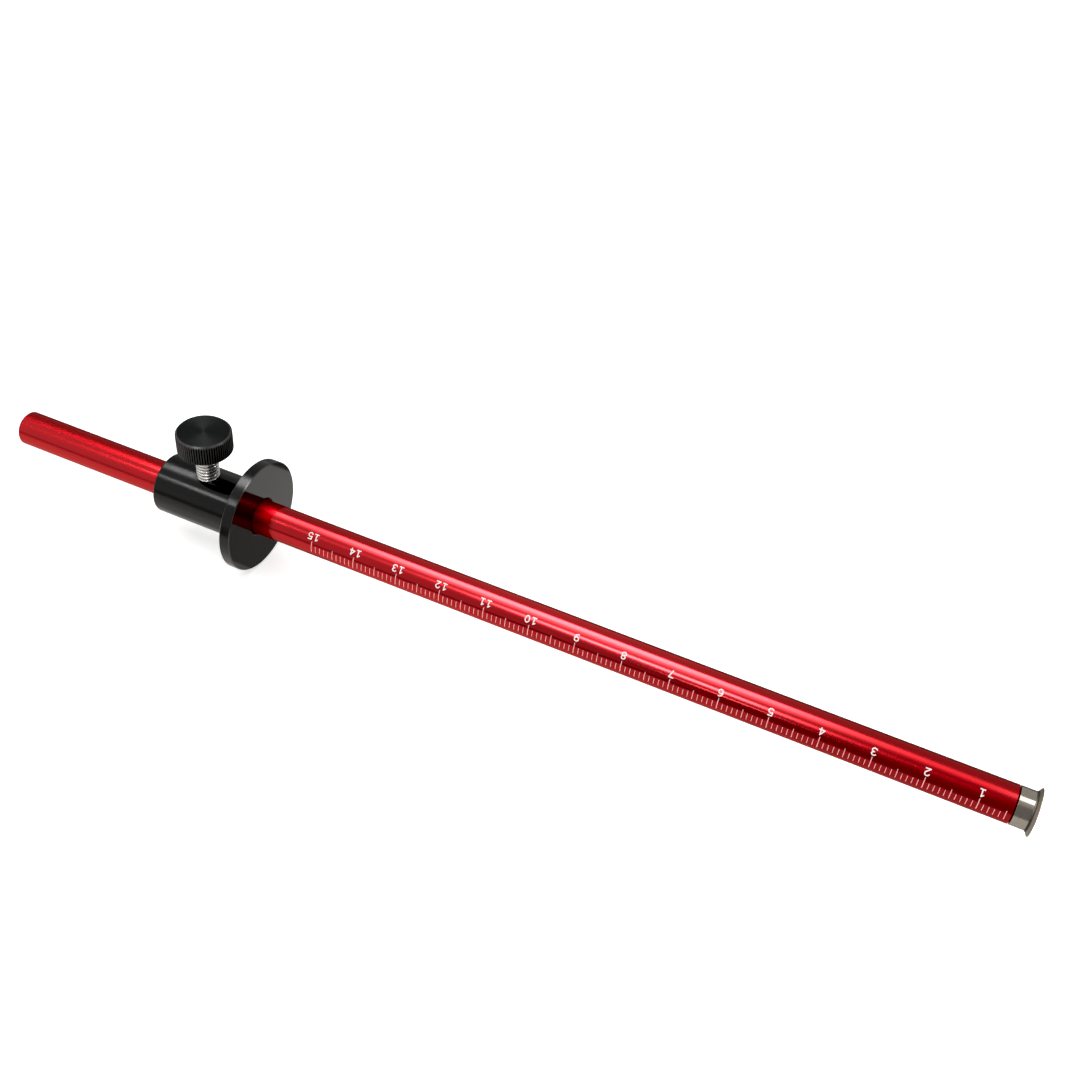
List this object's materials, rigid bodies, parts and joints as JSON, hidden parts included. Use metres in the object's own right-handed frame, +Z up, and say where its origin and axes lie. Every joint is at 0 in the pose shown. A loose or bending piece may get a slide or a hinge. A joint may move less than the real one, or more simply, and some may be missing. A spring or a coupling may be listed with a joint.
{
  "type": "wheel marking gauge",
  "caption": "Round-bar wheel marking gauge: graduated rod with a sharp steel wheel on its end and a sliding flanged fence locked by a knurled thumb screw.",
  "frame": {"origin": "Below the middle of the rod's length, level with the lowest point of the fence flange, in the plane of the rod and the thumb screw.", "axes": "+X along the rod from the free end to the cutting wheel, +Z up along the thumb screw, +Y to the left of someone looking along +X."},
  "size_m": [0.2266, 0.0246, 0.0303],
  "materials": {
    "red_anodised": "red anodised, glossy, fine drawn lines",
    "black_anodised": "black anodised, polished face, satin turned collar",
    "black_knob": "black anodised, straight knurl, turned top",
    "bright_steel": "bright rolled thread",
    "polished_steel": "ground and polished",
    "dark_steel": "black oxide",
    "ring_rubber": "matt rubber",
    "pad_brass": "plain turned brass"
  },
  "bodies": {
    "rod": {"beam_rod": "red_anodised", "cutter_screw": "dark_steel"},
    "grip": {"grip_ring": "ring_rubber"},
    "fence": {"fence": "black_anodised"},
    "pad": {"clamp_pad": "pad_brass"},
    "thumb_screw": {"clamp_stud": "bright_steel", "clamp_knob": "black_knob"},
    "wheel": {"cutter_wheel": "polished_steel"}
  },
  "joints": [
    {"name": "fence_slide", "type": "slide", "parent": "rod", "child": "grip", "axis": [1, 0, 0], "range_m": [-0.038, 0.162]},
    {"name": "fence_swivel", "type": "hinge", "parent": "grip", "child": "fence", "pos_m": [-0.0642, 0, 0.0123], "axis": [1, 0, 0], "continuous": true},
    {"name": "clamp_travel", "type": "slide", "parent": "fence", "child": "pad", "axis": [0, 0, 1], "range_m": [0, 0.0008]},
    {"name": "clamp_turn", "type": "hinge", "parent": "pad", "child": "thumb_screw", "pos_m": [-0.0642, 0, 0.0123], "axis": [0, 0, 1], "range_deg": [0, 360]},
    {"name": "cutter_index", "type": "hinge", "parent": "rod", "child": "wheel", "pos_m": [0.1114, 0, 0.0123], "axis": [1, 0, 0], "continuous": true}
  ],
  "couplings": [
    {"joint": "clamp_turn", "follows": "clamp_travel", "rad_per_m": 7854}
  ]
}
